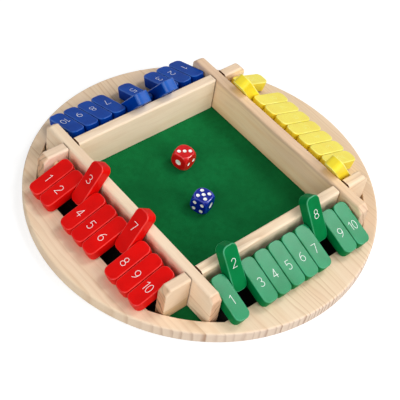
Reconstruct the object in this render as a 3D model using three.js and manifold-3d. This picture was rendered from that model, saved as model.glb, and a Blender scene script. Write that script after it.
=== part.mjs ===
import * as THREE from 'three';
import { RoundedBoxGeometry } from 'three/addons/geometries/RoundedBoxGeometry.js';
import { mergeVertices } from 'three/addons/utils/BufferGeometryUtils.js';
import Module from 'manifold-3d';

// Four-sided shut the box game. Millimetres, +Z up, origin under the middle of the board.
// The red bank lies on -X, the green on -Y, the yellow on +X and the blue on +Y.

const wasm = await Module();
wasm.setup();

// Tiles
const tilesPerBank = 10;
const tileLength = 39.5;
const tilePitch = 14.6;
const tileSideGap = 0.7;
const tileThickness = 10.4;
const tileCornerRound = 5;
const tileEdgeEase = 0.8;
const tileHingeFromEnd = 9;
const tileHingeFromWall = 12.8;
const tileLap = 7.06;
const flatSlopeDegrees = 19.5;
const bankEndSlack = 2.35;
const dowelRadius = 2.5;
const dowelSocketDepth = 5;

// Walls
const wallThickness = 9.5;
const wallTop = 36.8;
const wallEdgeRound = 2;
const wallEndClip = 4.6;

// Board, base and felt
const boardThickness = 11.5;
const boardEdgeRound = 1.8;
const cornerRimWidth = 11.45;
const baseThickness = 1.6;
const baseLedge = 5.5;
const feltThickness = 0.8;

// How far each bank has slid along its dowel, as a share of its end play
const bankSlideShares = { red: 0.58, green: -0.1, yellow: 0.19, blue: -0.98 };
const tilesUp = { red: [3, 7], green: [2, 8], yellow: [1, 9], blue: [4, 6] };

// Dice
const dieSize = 16;
const dieEdgeRound = 1.2;
const dieCornerReach = 11.2;
const pipOffset = 3.5;
const pipRadius = 1.65;
const singlePipRadius = 2.7;
const pipDepth = 0.5;
const redDieCentreShares = [0.095, 0.457];
const redDieTurnDegrees = 14.2;
const blueDieCentreShares = [-0.147, -0.176];
const blueDieTurnDegrees = 20.4;

// Clearances
const glueLine = 0.1;
const jointGap = 0.4;
const baseClearance = 0.3;
const feltClearance = 0.4;
const dowelClearance = 0.3;
const dowelEndClearance = 0.3;
const restGap = 0.25;
const dieClearance = 0.1;
const cutOverrun = 1;
const weldTolerance = 1e-5;

// Facets
const rimSides = 96;
const dowelSides = 12;
const tileEndSides = 8;
const roundSteps = 3;
const pipSides = 10;
const dieEdgeSteps = 2;
const dieCornerDetail = 5;

const pine = { color: 0xe8cfa6, roughness: 0.55, metalness: 0 };
const woods = {
  board: pine,
  wall: { ...pine, color: 0xecd2ab },
  dowel: { ...pine, color: 0xdcbf92 },
};
const tilePaint = { red: 0xd8190f, green: 0x4fae7c, yellow: 0xf2e04a, blue: 0x1d4f9e };

const game = new THREE.Group();
const rad = THREE.MathUtils.degToRad;

function material({ color, roughness, metalness }) {
  return new THREE.MeshStandardMaterial({ color, roughness, metalness });
}

function addPiece(parent, name, geometry, finish) {
  const mesh = new THREE.Mesh(geometry, material(finish));
  mesh.name = name;
  parent.add(mesh);
  return mesh;
}

// Solids from meshes and back
function solid(geometry) {
  const bare = geometry.index ? geometry.toNonIndexed() : geometry.clone();
  for (const key of Object.keys(bare.attributes)) {
    if (key !== 'position') bare.deleteAttribute(key);
  }
  const merged = mergeVertices(bare, weldTolerance);
  return new wasm.Manifold(new wasm.Mesh({
    numProp: 3,
    vertProperties: new Float32Array(merged.attributes.position.array),
    triVerts: new Uint32Array(merged.index.array),
  }));
}

function geometryOf(manifold) {
  const mesh = manifold.getMesh();
  const geometry = new THREE.BufferGeometry();
  geometry.setAttribute('position', new THREE.BufferAttribute(new Float32Array(mesh.vertProperties), 3));
  geometry.setIndex(new THREE.BufferAttribute(new Uint32Array(mesh.triVerts), 1));
  return geometry;
}

function cut(geometry, cutters) {
  let body = solid(geometry);
  for (const cutter of cutters) body = body.subtract(solid(cutter));
  return geometryOf(body);
}

// A flat outline of [x, y] points raised along +Z, with its arrises eased by `ease`
function slab(points, height, ease, easeSteps = 1) {
  const shape = new THREE.Shape(points.map(([x, y]) => new THREE.Vector2(x, y)));
  const geometry = new THREE.ExtrudeGeometry(shape, {
    depth: height - 2 * ease,
    bevelThickness: ease,
    bevelSize: ease,
    bevelOffset: -ease,
    bevelSegments: easeSteps,
    curveSegments: 1,
  });
  return geometry.translate(0, 0, ease);
}

function arcPoints(cx, cy, radius, fromAngle, toAngle, steps) {
  return Array.from({ length: steps + 1 }, (_, i) => {
    const angle = fromAngle + ((toAngle - fromAngle) * i) / steps;
    return [cx + radius * Math.cos(angle), cy + radius * Math.sin(angle)];
  });
}

// Tile hinge: the flat tile slopes down until the lower arris of its outer end rests on the board, and the
// raised tile leans back on the rounded outer arris of the wall.
const flatSlope = rad(flatSlopeDegrees);
const halfTile = tileThickness / 2;
const restReach = tileLength - tileHingeFromEnd - tileEdgeEase;
const hingeHeight = boardThickness + restGap + restReach * Math.sin(flatSlope) + halfTile * Math.cos(flatSlope);
const leanOut = -tileHingeFromWall - wallEdgeRound;
const leanUp = wallTop - wallEdgeRound - hingeHeight;
const leanGap = halfTile + restGap + wallEdgeRound;
const raisedAngle = Math.atan2(leanUp, leanOut) - Math.asin(leanGap / Math.hypot(leanOut, leanUp));
const boreRadius = dowelRadius + dowelClearance;

// Plan: a bank fills one side of the tray, and its flat tiles lap onto the board. The round corners of the
// opening meet its straight edges where the banks end, and the walls run out to them.
const bankLength = tilesPerBank * tilePitch - tileSideGap + 2 * bankEndSlack;
const trayHalf = bankLength / 2;
const wallOuter = trayHalf + wallThickness;
const hingeLine = wallOuter + tileHingeFromWall;
const openingHalf = hingeLine + restReach * Math.cos(flatSlope) - halfTile * Math.sin(flatSlope) - tileLap;
const pocketRadius = Math.hypot(openingHalf, trayHalf);
const boardRadius = pocketRadius + cornerRimWidth;
const armEnd = Math.sqrt((pocketRadius - jointGap) ** 2 - wallOuter ** 2);
const feltTop = baseThickness + feltThickness;
const wallHeight = wallTop - feltTop;

function disc(radius, height) {
  return new THREE.CylinderGeometry(radius, radius, height, rimSides).rotateX(Math.PI / 2).translate(0, 0, height / 2);
}

// The solid that fills the opening, smaller all round by `clearance`: a square with its corners rounded off
function openingSolid(clearance, height) {
  const side = 2 * (openingHalf - clearance);
  const square = new THREE.BoxGeometry(side, side, height).translate(0, 0, height / 2);
  return solid(square).intersect(solid(disc(pocketRadius - clearance, height)));
}

// Board: a turned disc with rounded arrises, less the opening and the rebate for the base
function boardGeometry() {
  const inner = boardRadius - boardEdgeRound;
  const profile = [
    [0, 0],
    ...arcPoints(inner, boardEdgeRound, boardEdgeRound, -Math.PI / 2, 0, roundSteps),
    ...arcPoints(inner, boardThickness - boardEdgeRound, boardEdgeRound, 0, Math.PI / 2, roundSteps),
    [0, boardThickness],
  ];
  const turned = new THREE.LatheGeometry(profile.map(([x, y]) => new THREE.Vector2(x, y)), rimSides)
    .rotateX(Math.PI / 2);
  const opening = openingSolid(0, boardThickness + 2 * cutOverrun).translate(0, 0, -cutOverrun);
  const rebate = disc(baseRadius + baseClearance, baseThickness + glueLine + cutOverrun)
    .translate(0, 0, -cutOverrun);
  return geometryOf(solid(turned).subtract(opening).subtract(solid(rebate)));
}

const baseRadius = pocketRadius + baseLedge;
addPiece(game, 'board', boardGeometry(), woods.board);
addPiece(game, 'base_panel', disc(baseRadius, baseThickness), { color: 0x17150f, roughness: 0.9, metalness: 0 });

// Felt: fills the opening but for the four troughs under the tiles
function feltGeometry() {
  const reach = pocketRadius - wallOuter;
  let sheet = openingSolid(feltClearance, feltThickness);
  for (let side = 0; side < 4; side += 1) {
    const trough = new THREE.BoxGeometry(reach, bankLength, feltThickness + 2 * cutOverrun)
      .translate(wallOuter + reach / 2, 0, feltThickness / 2)
      .rotateZ((side * Math.PI) / 2);
    sheet = sheet.subtract(solid(trough));
  }
  return geometryOf(sheet);
}

addPiece(game, 'felt_liner', feltGeometry(), { color: 0x0f6a35, roughness: 1, metalness: 0 })
  .position.z = baseThickness;

// Walls and cheeks: a bar standing on the felt and lying along +X from its own origin. Its free ends have their
// top corner clipped and their arrises rounded, and it is square at its foot and where it meets another bar.
// Sockets for dowels are sunk into its +Y face or its -Y face.
function barGeometry(length, freeStart, freeEnd, sockets = []) {
  const past = wallEdgeRound;
  const points = [[freeStart ? 0 : -past, -past], [freeEnd ? length : length + past, -past]];
  if (freeEnd) points.push([length, wallHeight - wallEndClip], [length - wallEndClip, wallHeight]);
  else points.push([length + past, wallHeight]);
  if (freeStart) points.push([wallEndClip, wallHeight], [0, wallHeight - wallEndClip]);
  else points.push([-past, wallHeight]);
  const eased = slab(points, wallThickness, wallEdgeRound, roundSteps)
    .rotateX(Math.PI / 2)
    .translate(0, wallThickness, 0);
  const squared = new THREE.BoxGeometry(length, wallThickness, wallHeight)
    .translate(length / 2, wallThickness / 2, wallHeight / 2);

  let body = solid(eased).intersect(solid(squared));
  const depth = dowelSocketDepth + cutOverrun;
  for (const { x, face } of sockets) {
    const y = face > 0 ? wallThickness - dowelSocketDepth + depth / 2 : dowelSocketDepth - depth / 2;
    const socket = new THREE.CylinderGeometry(boreRadius, boreRadius, depth, dowelSides)
      .translate(x, y, hingeHeight - feltTop);
    body = body.subtract(solid(socket));
  }
  return geometryOf(body);
}

// Each long wall carries one end of the green dowel and one end of the blue dowel
for (const [name, x, face] of [['red', -wallOuter, -1], ['yellow', trayHalf, 1]]) {
  const sockets = [-hingeLine, hingeLine].map((y) => ({ x: y + armEnd, face }));
  const wall = addPiece(game, `long_wall_${name}_side`, barGeometry(2 * armEnd, true, true, sockets), woods.wall);
  wall.rotation.z = Math.PI / 2;
  wall.position.set(x + wallThickness, -armEnd, feltTop);
}

for (const [name, y] of [['green', -wallOuter], ['blue', trayHalf]]) {
  const length = bankLength - 2 * jointGap;
  const wall = addPiece(game, `short_wall_${name}_side`, barGeometry(length, false, false), woods.wall);
  wall.position.set(-length / 2, y, feltTop);
}

// Cheeks close the ends of the red and yellow banks and carry their dowels
const cheekLength = armEnd - wallOuter - jointGap;
const cheekEnds = { red: [1, 10], yellow: [10, 1] };
for (const [bank, side] of [['red', -1], ['yellow', 1]]) {
  for (const [index, end] of [1, -1].entries()) {
    const fromWall = tileHingeFromWall - jointGap;
    const socket = { x: side > 0 ? fromWall : cheekLength - fromWall, face: -end };
    const geometry = barGeometry(cheekLength, side < 0, side > 0, [socket]);
    const cheek = addPiece(game, `${bank}_cheek_at_${cheekEnds[bank][index]}`, geometry, woods.wall);
    const x = side > 0 ? wallOuter + jointGap : -armEnd;
    cheek.position.set(x, end > 0 ? trayHalf : -wallOuter, feltTop);
  }
}

// Tiles: a bar with rounded corners and eased arrises, bored across for the dowel.
// Its own frame has the dowel on the origin, the free end towards +X and the number faces up and down.
const tileWidth = tilePitch - tileSideGap;

function tileGeometry() {
  const across = tileWidth / 2 - tileCornerRound;
  const near = -tileHingeFromEnd + tileCornerRound;
  const far = tileLength - tileHingeFromEnd - tileCornerRound;
  const half = tileEndSides / 2;
  const points = [
    ...arcPoints(far, -across, tileCornerRound, -Math.PI / 2, 0, half),
    ...arcPoints(far, across, tileCornerRound, 0, Math.PI / 2, half),
    ...arcPoints(near, across, tileCornerRound, Math.PI / 2, Math.PI, half),
    ...arcPoints(near, -across, tileCornerRound, Math.PI, (3 * Math.PI) / 2, half),
  ];
  const bar = slab(points, tileThickness, tileEdgeEase).translate(0, 0, -halfTile);
  const bore = new THREE.CylinderGeometry(boreRadius, boreRadius, tileWidth + 2 * cutOverrun, dowelSides);
  return cut(bar, [bore]);
}

const endPlay = bankEndSlack - jointGap;
const banks = ['yellow', 'blue', 'red', 'green'];
const tileShape = tileGeometry();

// A bank is built as if it lay on +X, with tile 1 at the -Y end, and each next bank is turned by a quarter
for (const [quarter, bank] of banks.entries()) {
  const bankGroup = new THREE.Group();
  bankGroup.rotation.z = (quarter * Math.PI) / 2;
  game.add(bankGroup);

  const socketReach = dowelSocketDepth - dowelEndClearance;
  const dowelLength = bankLength + 2 * socketReach;
  const dowel = addPiece(
    bankGroup,
    `${bank}_dowel`,
    new THREE.CylinderGeometry(dowelRadius, dowelRadius, dowelLength, dowelSides),
    woods.dowel,
  );
  dowel.position.set(hingeLine, 0, hingeHeight);

  for (let number = 1; number <= tilesPerBank; number += 1) {
    const raised = tilesUp[bank].includes(number);
    const finish = { color: tilePaint[bank], roughness: 0.42, metalness: 0 };
    const tile = addPiece(bankGroup, `${bank}_tile_${number}`, tileShape, finish);
    const along = (number - (tilesPerBank + 1) / 2) * tilePitch + bankSlideShares[bank] * endPlay;
    tile.position.set(hingeLine, along, hingeHeight);
    tile.rotation.y = raised ? -raisedAngle : flatSlope;
  }
}

// Dice: a cube with eased edges whose corners are turned off to a ball, and with drilled pips.
// Opposite faces add up to seven.
const pipLayouts = {
  1: [[0, 0]],
  2: [[-1, 0], [1, 0]],
  3: [[-1, -1], [0, 0], [1, 1]],
  4: [[-1, -1], [-1, 1], [1, -1], [1, 1]],
  5: [[-1, -1], [-1, 1], [0, 0], [1, -1], [1, 1]],
  6: [[-1, -1], [-1, 0], [-1, 1], [1, -1], [1, 0], [1, 1]],
};

function dieGeometry(faces) {
  const cutters = [];
  const outward = new THREE.Vector3(0, 0, 1);
  for (const [value, normal, spin] of faces) {
    const radius = value === 1 ? singlePipRadius : pipRadius;
    const turn = new THREE.Quaternion().setFromUnitVectors(outward, normal);
    for (const [u, v] of pipLayouts[value]) {
      const pip = new THREE.CylinderGeometry(2 * radius, 0, 2 * pipDepth, pipSides).rotateX(Math.PI / 2);
      pip.translate(u * pipOffset * spin, v * pipOffset, dieSize / 2);
      cutters.push(pip.applyQuaternion(turn));
    }
  }
  const cube = solid(new RoundedBoxGeometry(dieSize, dieSize, dieSize, dieEdgeSteps, dieEdgeRound));
  const ball = solid(new THREE.IcosahedronGeometry(dieCornerReach, dieCornerDetail));
  return cut(geometryOf(cube.intersect(ball)), cutters);
}

const axis = (x, y, z) => new THREE.Vector3(x, y, z);
const redFaces = [
  [3, axis(0, 0, 1), -1], [4, axis(0, 0, -1), 1], [1, axis(-1, 0, 0), 1],
  [6, axis(1, 0, 0), 1], [2, axis(0, -1, 0), 1], [5, axis(0, 1, 0), 1],
];
const blueFaces = [
  [5, axis(0, 0, 1), 1], [2, axis(0, 0, -1), 1], [4, axis(-1, 0, 0), 1],
  [3, axis(1, 0, 0), 1], [1, axis(0, -1, 0), 1], [6, axis(0, 1, 0), 1],
];
for (const [name, faces, centreShares, turn, color] of [
  ['red_die', redFaces, redDieCentreShares, redDieTurnDegrees, 0xc8141a],
  ['blue_die', blueFaces, blueDieCentreShares, blueDieTurnDegrees, 0x14279a],
]) {
  const die = addPiece(game, name, dieGeometry(faces), { color, roughness: 0.25, metalness: 0 });
  die.position.set(centreShares[0] * trayHalf, centreShares[1] * trayHalf, feltTop + dieClearance + dieSize / 2);
  die.rotation.z = rad(turn);
}

export default game;
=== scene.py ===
import math

import bmesh
import bpy
import numpy as np
from mathutils import Matrix, Vector
from mathutils.geometry import tessellate_polygon


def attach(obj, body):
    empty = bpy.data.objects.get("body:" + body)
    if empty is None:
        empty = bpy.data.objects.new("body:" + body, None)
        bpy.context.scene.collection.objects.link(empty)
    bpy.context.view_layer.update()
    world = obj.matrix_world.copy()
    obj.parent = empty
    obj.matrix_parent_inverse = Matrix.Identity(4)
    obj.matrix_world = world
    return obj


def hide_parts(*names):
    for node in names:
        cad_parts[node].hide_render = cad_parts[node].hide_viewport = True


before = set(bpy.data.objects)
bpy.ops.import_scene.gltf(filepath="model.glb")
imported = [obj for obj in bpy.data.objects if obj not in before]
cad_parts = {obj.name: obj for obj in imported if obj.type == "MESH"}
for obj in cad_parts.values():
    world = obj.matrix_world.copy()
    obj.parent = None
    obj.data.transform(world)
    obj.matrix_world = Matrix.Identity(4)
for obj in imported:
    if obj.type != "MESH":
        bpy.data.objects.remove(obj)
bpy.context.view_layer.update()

# Lengths are in millimetres until a mesh is finished, and in metres after that.
MM = 0.001

# Plan and heights
TRAY_HALF = 75.0
WALL_THICKNESS = 9.5
WALL_OUTER = TRAY_HALF + WALL_THICKNESS
WALL_TOP = 36.8
WALL_EDGE_ROUND = 2.0
WALL_END_CLIP = 4.6
WALL_END_EASE = 1.0
WALL_FOOT_EASE = 1.1
GLUED_END_EASE = 0.6
BOARD_THICKNESS = 11.5
BOARD_EDGE_ROUND = 1.8
OPENING_EASE = 0.5
BASE_TOP = 1.6
REBATE_TOP = 1.7
FELT_TOP = 2.4
FELT_MARGIN = 0.4
JOINT_GAP = 0.4

# Tiles and dowels
TILES = 10
TILE_PITCH = 14.6
TILE_WIDTH = 13.9
TILE_LENGTH = 39.5
TILE_THICKNESS = 10.4
TILE_CORNER = 5.0
TILE_EASE = 0.8
HINGE_FROM_END = 9.0
HINGE_FROM_WALL = 12.8
HINGE_LINE = WALL_OUTER + HINGE_FROM_WALL
FLAT_SLOPE = math.radians(19.5)
REST_REACH = TILE_LENGTH - HINGE_FROM_END - TILE_EASE
HALF_TILE = TILE_THICKNESS / 2
REST_GAP = 0.25
HINGE_HEIGHT = (BOARD_THICKNESS + REST_GAP + REST_REACH * math.sin(FLAT_SLOPE)
                + HALF_TILE * math.cos(FLAT_SLOPE))
LEAN = (-HINGE_FROM_WALL - WALL_EDGE_ROUND, WALL_TOP - WALL_EDGE_ROUND - HINGE_HEIGHT)
RAISED_ANGLE = (math.atan2(LEAN[1], LEAN[0])
                - math.asin((HALF_TILE + REST_GAP + WALL_EDGE_ROUND) / math.hypot(*LEAN)))
END_PLAY = 1.95
SLIDE_SHARES = {"red": 0.58, "green": -0.1, "yellow": 0.19, "blue": -0.98}
TILES_UP = {"red": (3, 7), "green": (2, 8), "yellow": (1, 9), "blue": (4, 6)}
BANKS = ("yellow", "blue", "red", "green")
DOWEL_RADIUS = 2.5
BORE_RADIUS = 2.8
SOCKET_DEPTH = 5.0
DOWEL_END_GAP = 0.3
DOWEL_CHAMFER = 0.5

# The opening is as wide as the flat tiles need, which lie over its edge by the lap.
LAP = 7.06
RING_WIDTH = 11.45
REBATE_WIDTH = 5.8
OPENING_HALF = HINGE_LINE + REST_REACH * math.cos(FLAT_SLOPE) - HALF_TILE * math.sin(FLAT_SLOPE) - LAP
POCKET_RADIUS = math.hypot(OPENING_HALF, TRAY_HALF)
BOARD_RADIUS = POCKET_RADIUS + RING_WIDTH
REBATE_RADIUS = POCKET_RADIUS + REBATE_WIDTH
ARM_END = math.sqrt((POCKET_RADIUS - JOINT_GAP) ** 2 - WALL_OUTER ** 2)

# Dice
DIE_SIZE = 16.0
DIE_CORNER_REACH = 11.2
DIE_SHARPNESS = 24
DIE_STEPS = 24
DIE_SHARP_DEGREES = 22
DIE_CLEARANCE = 0.1
PIP_OFFSET = 3.5
PIP_RADIUS = 1.65
SINGLE_PIP_RADIUS = 2.7
PIP_DEPTH = 0.5
PIP_FLARE = 0.08
PIP_FLARE_HEIGHT = 0.15
PIP_CUTTER_TOP = 0.6

# Printed numbers, whose outlines are found on a grid
STROKE = 0.4
PRINT_SCALE = 0.85
PRINT_HEIGHT = 0.06
PRINT_CENTRE = 13.1
RAISED_PRINT_CENTRE = 14.9
CONTOUR_STEP = 0.13
CONTOUR_HALF_WIDTH = 6.0
CONTOUR_HALF_HEIGHT = 5.6
CONTOUR_TOLERANCE = 0.012
CONTOUR_MOST_LEFT_OUT = 12

# How finely round shapes are cut
BOARD_SIDES = 288
BOARD_EDGE_STEPS = 6
OPENING_EASE_STEPS = 3
BAR_ROUND_STEPS = 5
BORE_SIDES = 32
BORE_OVERRUN = 2.0
DOWEL_SIDES = 40
TILE_EASE_STEPS = 5
TILE_CORNER_STEPS = 9
PIP_SIDES = 40
PIP_STEPS = 5
CURVE_STEPS = 14

# A face takes another material where its normal leans this far towards an end, upwards, or off a die's face.
GLUED_END_LEAN = 0.2
FREE_END_LEAN = 0.3
UPPER_FACE_LEAN = 0.5
DIE_EDGE_LEANS = (0.75, 0.97)

# Lengths closer than this are the same. Nothing is divided by less than the tiny value.
NIL = 1e-6
TINY = 1e-12
FACE_TOLERANCE = 0.001


# Meshes

def finish_mesh(bm, name):
    bmesh.ops.recalc_face_normals(bm, faces=bm.faces)
    mesh = bpy.data.meshes.new(name)
    bm.to_mesh(mesh)
    bm.free()
    return mesh


def make_object(name, data):
    made = bpy.data.objects.new(name, data)
    bpy.context.scene.collection.objects.link(made)
    return made


def evaluated(obj):
    bpy.context.view_layer.update()
    graph = bpy.context.evaluated_depsgraph_get()
    return bpy.data.meshes.new_from_object(obj.evaluated_get(graph), preserve_all_data_layers=True,
                                           depsgraph=graph)


def applied(mesh, cutters=(), sharp_degrees=30.0, widest_round=0.0):
    """The mesh less the cutters, with smooth shading that keeps flat faces flat.

    Edges are rounded first, by the share of the widest round that each edge's bevel weight gives."""
    work = make_object("work", mesh)
    if widest_round:
        rounds = work.modifiers.new("rounds", "BEVEL")
        rounds.width = widest_round
        rounds.segments = BAR_ROUND_STEPS
        rounds.limit_method = "WEIGHT"
    tools = []
    for cutter in cutters:
        tool = make_object("tool", cutter)
        tools.append(tool)
        modifier = work.modifiers.new("cut", "BOOLEAN")
        modifier.operation = "DIFFERENCE"
        modifier.solver = "EXACT"
        modifier.object = tool
    cut = evaluated(work)
    bpy.data.objects.remove(work)
    for tool in tools:
        bpy.data.objects.remove(tool)
    cut.shade_smooth()
    cut.set_sharp_from_angle(angle=math.radians(sharp_degrees))
    work = make_object("work", cut)
    weighted = work.modifiers.new("normals", "WEIGHTED_NORMAL")
    weighted.keep_sharp = True
    done = evaluated(work)
    bpy.data.objects.remove(work)
    return done


def place(name, mesh, materials, body, nodes=(), matrix=None):
    """A piece whose mesh is in millimetres: moved into the frame, dressed, and set on its body."""
    mesh.transform(Matrix.Scale(MM, 4) @ (matrix or Matrix.Identity(4)))
    mesh.name = name
    for material in materials:
        mesh.materials.append(material)
    made = make_object(name, mesh)
    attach(made, body)
    if nodes:
        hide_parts(*nodes)
    return made


def cylinder(radius, length, sides, chamfer=0.0, axis="X"):
    """A rod about the origin, with chamfered ends."""
    bm = bmesh.new()
    rings = []
    ends = [(-length / 2, radius - chamfer), (-length / 2 + chamfer, radius),
            (length / 2 - chamfer, radius), (length / 2, radius - chamfer)]
    if not chamfer:
        ends = [ends[0], ends[-1]]
    for x, r in ends:
        rings.append([bm.verts.new((x, r * math.cos(a), r * math.sin(a)))
                      for a in np.linspace(0, math.tau, sides, endpoint=False)])
    for first, second in zip(rings, rings[1:]):
        for i in range(sides):
            j = (i + 1) % sides
            bm.faces.new((first[i], first[j], second[j], second[i]))
    bm.faces.new(rings[0])
    bm.faces.new(rings[-1])
    if axis == "Y":
        bm.transform(Matrix.Rotation(math.pi / 2, 4, "Z"))
    return finish_mesh(bm, "rod")


def opening_reach(angle, grow):
    """Distance from the middle to the edge of the opening: a square with its corners rounded off."""
    square = (OPENING_HALF + grow) / max(abs(math.cos(angle)), abs(math.sin(angle)))
    return min(square, POCKET_RADIUS + grow)


def arc(cx, cy, rx, ry, start, end, steps):
    """Points of an elliptic arc, angles in degrees."""
    return [(cx + rx * math.cos(math.radians(a)), cy + ry * math.sin(math.radians(a)))
            for a in np.linspace(start, end, steps + 1)]


def board_mesh():
    bm = bmesh.new()
    corner = math.atan2(TRAY_HALF, OPENING_HALF)
    turns = [k * math.pi / 2 for k in range(4)]
    angles = sorted({round(a % math.tau, 6) for a in
                     [*np.linspace(0, math.tau, BOARD_SIDES, endpoint=False),
                      *[t + corner for t in turns], *[t - corner for t in turns]]})
    inner = BOARD_RADIUS - BOARD_EDGE_ROUND
    edge = BOARD_EDGE_ROUND
    rim = (arc(inner, BOARD_THICKNESS - edge, edge, edge, 90, 0, BOARD_EDGE_STEPS)
           + arc(inner, edge, edge, edge, 0, -90, BOARD_EDGE_STEPS))
    ease = arc(OPENING_EASE, BOARD_THICKNESS - OPENING_EASE, OPENING_EASE, OPENING_EASE, 180, 90,
               OPENING_EASE_STEPS)
    columns = []
    for angle in angles:
        profile = [(opening_reach(angle, 0), REBATE_TOP)]
        profile += [(opening_reach(angle, r), z) for r, z in ease]
        profile += rim + [(REBATE_RADIUS, 0), (REBATE_RADIUS, REBATE_TOP)]
        columns.append([bm.verts.new((r * math.cos(angle), r * math.sin(angle), z)) for r, z in profile])
    for first, second in zip(columns, columns[1:] + columns[:1]):
        for i in range(len(first)):
            j = (i + 1) % len(first)
            bm.faces.new((first[i], second[i], second[j], first[j]))
    return applied(finish_mesh(bm, "board"))


def bar_mesh(length, free_start, free_end, sockets=()):
    """A bar along +X from the origin, standing on the felt. Free ends are clipped and rounded.

    Sockets are places along it, with the side they open to. Material 1 is the glued ends, painted with the
    seam's shade."""
    height = WALL_TOP - FELT_TOP
    clip = WALL_END_CLIP
    outline = [(0, 0), (length, 0)]
    outline += [(length, height - clip), (length - clip, height)] if free_end else [(length, height)]
    outline += [(clip, height), (0, height - clip)] if free_start else [(0, height)]
    bm = bmesh.new()
    near = [bm.verts.new((x, 0, z)) for x, z in outline]
    far = [bm.verts.new((x, WALL_THICKNESS, z)) for x, z in outline]
    bm.faces.new(near)
    bm.faces.new(far)
    count = len(outline)
    for i in range(count):
        j = (i + 1) % count
        bm.faces.new((near[i], near[j], far[j], far[i]))
    weight = bm.edges.layers.float.new("bevel_weight_edge")
    for edge in bm.edges:
        a, b = (v.co for v in edge.verts)
        ease = WALL_EDGE_ROUND
        if max(a.z, b.z) < NIL:
            ease = WALL_FOOT_EASE
        for x, free in ((0, free_start), (length, free_end)):
            if abs(a.x - x) < NIL and abs(b.x - x) < NIL:
                ease = WALL_END_EASE if free else GLUED_END_EASE
        if abs(a.y - b.y) > NIL and ease == WALL_EDGE_ROUND:
            ease = WALL_END_EASE
        edge[weight] = ease / WALL_EDGE_ROUND
    cutters = []
    for x, face in sockets:
        rod = cylinder(BORE_RADIUS, 2 * SOCKET_DEPTH, BORE_SIDES, axis="Y")
        rod.transform(Matrix.Translation((x, WALL_THICKNESS if face > 0 else 0, HINGE_HEIGHT - FELT_TOP)))
        cutters.append(rod)
    mesh = applied(finish_mesh(bm, "bar"), cutters, widest_round=WALL_EDGE_ROUND)
    # Glued ends take material 1, a painted shade for the seam.
    for polygon in mesh.polygons:
        for x, free, out in ((0, free_start, -1), (length, free_end, 1)):
            at_end = abs(polygon.center.x - x) < GLUED_END_EASE
            if at_end and not free and polygon.normal.x * out > GLUED_END_LEAN:
                polygon.material_index = 1
    return mesh


def tile_mesh():
    """A tile about its dowel: free end towards +X, number faces up and down.

    Material 0 is the upper face, 1 the arrises, 2 the sides and the lower face, and 3 the free end."""
    bm = bmesh.new()
    levels = [(TILE_EASE * (1 - math.sin(a)), TILE_EASE * (1 - math.cos(a)))
              for a in np.linspace(0, math.pi / 2, TILE_EASE_STEPS + 1)]
    low = [(inset, -HALF_TILE + lift) for inset, lift in levels]
    stack = low + [(inset, -z) for inset, z in reversed(low)]
    across = TILE_WIDTH / 2 - TILE_CORNER
    near, far = -HINGE_FROM_END + TILE_CORNER, TILE_LENGTH - HINGE_FROM_END - TILE_CORNER
    rings = []
    for inset, z in stack:
        r = TILE_CORNER - inset
        outline = []
        for x, y, start in ((far, -across, -90), (far, across, 0), (near, across, 90), (near, -across, 180)):
            outline += arc(x, y, r, r, start, start + 90, TILE_CORNER_STEPS)
        rings.append([bm.verts.new((x, y, z)) for x, y in outline])
    count = len(rings[0])
    for first, second in zip(rings, rings[1:]):
        for i in range(count):
            j = (i + 1) % count
            bm.faces.new((first[i], first[j], second[j], second[i]))
    bm.faces.new(rings[0])
    bm.faces.new(rings[-1])
    bore = cylinder(BORE_RADIUS, TILE_WIDTH + 2 * BORE_OVERRUN, BORE_SIDES, axis="Y")
    mesh = applied(finish_mesh(bm, "tile"), [bore])
    for polygon in mesh.polygons:
        if HALF_TILE - TILE_EASE < abs(polygon.center.z) < HALF_TILE - FACE_TOLERANCE:
            polygon.material_index = 1
        elif polygon.center.x > TILE_LENGTH / 2 and polygon.normal.x > FREE_END_LEAN:
            polygon.material_index = 3
        elif polygon.normal.z < UPPER_FACE_LEAN:
            polygon.material_index = 2
    return mesh


# Numbers

def bezier(a, b, c):
    """Points of the curve that leaves a towards b and reaches c from b."""
    return [((1 - t) ** 2 * a[0] + 2 * t * (1 - t) * b[0] + t * t * c[0],
             (1 - t) ** 2 * a[1] + 2 * t * (1 - t) * b[1] + t * t * c[1])
            for t in np.linspace(0, 1, CURVE_STEPS + 1)]


# The middle lines of the strokes of each figure, about its own middle
SIX = [bezier((1.5, 4.3), (-2.2, 2.9), (-2.45, -1.75)), arc(0, -1.8, 2.45, 2.6, 0, 360, 40)]
GLYPHS = {
    0: [arc(0, 0, 2.45, 4.4, 0, 360, 48)],
    1: [[(-1.5, 2.7), (0.5, 4.4), (0.5, -4.4)]],
    2: [arc(0, 2.0, 2.35, 2.4, 165, -32, 24) + [(-2.45, -4.4), (2.5, -4.4)]],
    3: [arc(-0.1, 2.3, 2.1, 2.1, 150, -90, 26), arc(-0.1, -2.1, 2.5, 2.3, 90, -150, 28)],
    4: [[(0.9, -4.4), (0.9, 4.4), (-2.7, -2.0), (2.6, -2.0)]],
    5: [[(2.1, 4.4), (-1.6, 4.4), (-2.0, 0.45)], arc(-0.05, -1.55, 2.5, 2.85, 138, -140, 32)],
    6: SIX,
    7: [[(-2.5, 4.4), (2.5, 4.4), (-0.9, -4.4)]],
    8: [arc(0, 2.25, 2.0, 2.15, 0, 360, 36), arc(0, -2.15, 2.5, 2.25, 0, 360, 40)],
    9: [[(-x, -y) for x, y in stroke] for stroke in SIX],
}
# The ten is the one, moved left, and a narrower nought, moved right.
ONE_MOVE = -2.9
NOUGHT_MOVE = 1.7
NOUGHT_WIDTH_SHARE = 0.86
GLYPHS[10] = [[(x + ONE_MOVE, y) for x, y in GLYPHS[1][0]],
              [(x * NOUGHT_WIDTH_SHARE + NOUGHT_MOVE, y) for x, y in GLYPHS[0][0]]]


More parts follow.
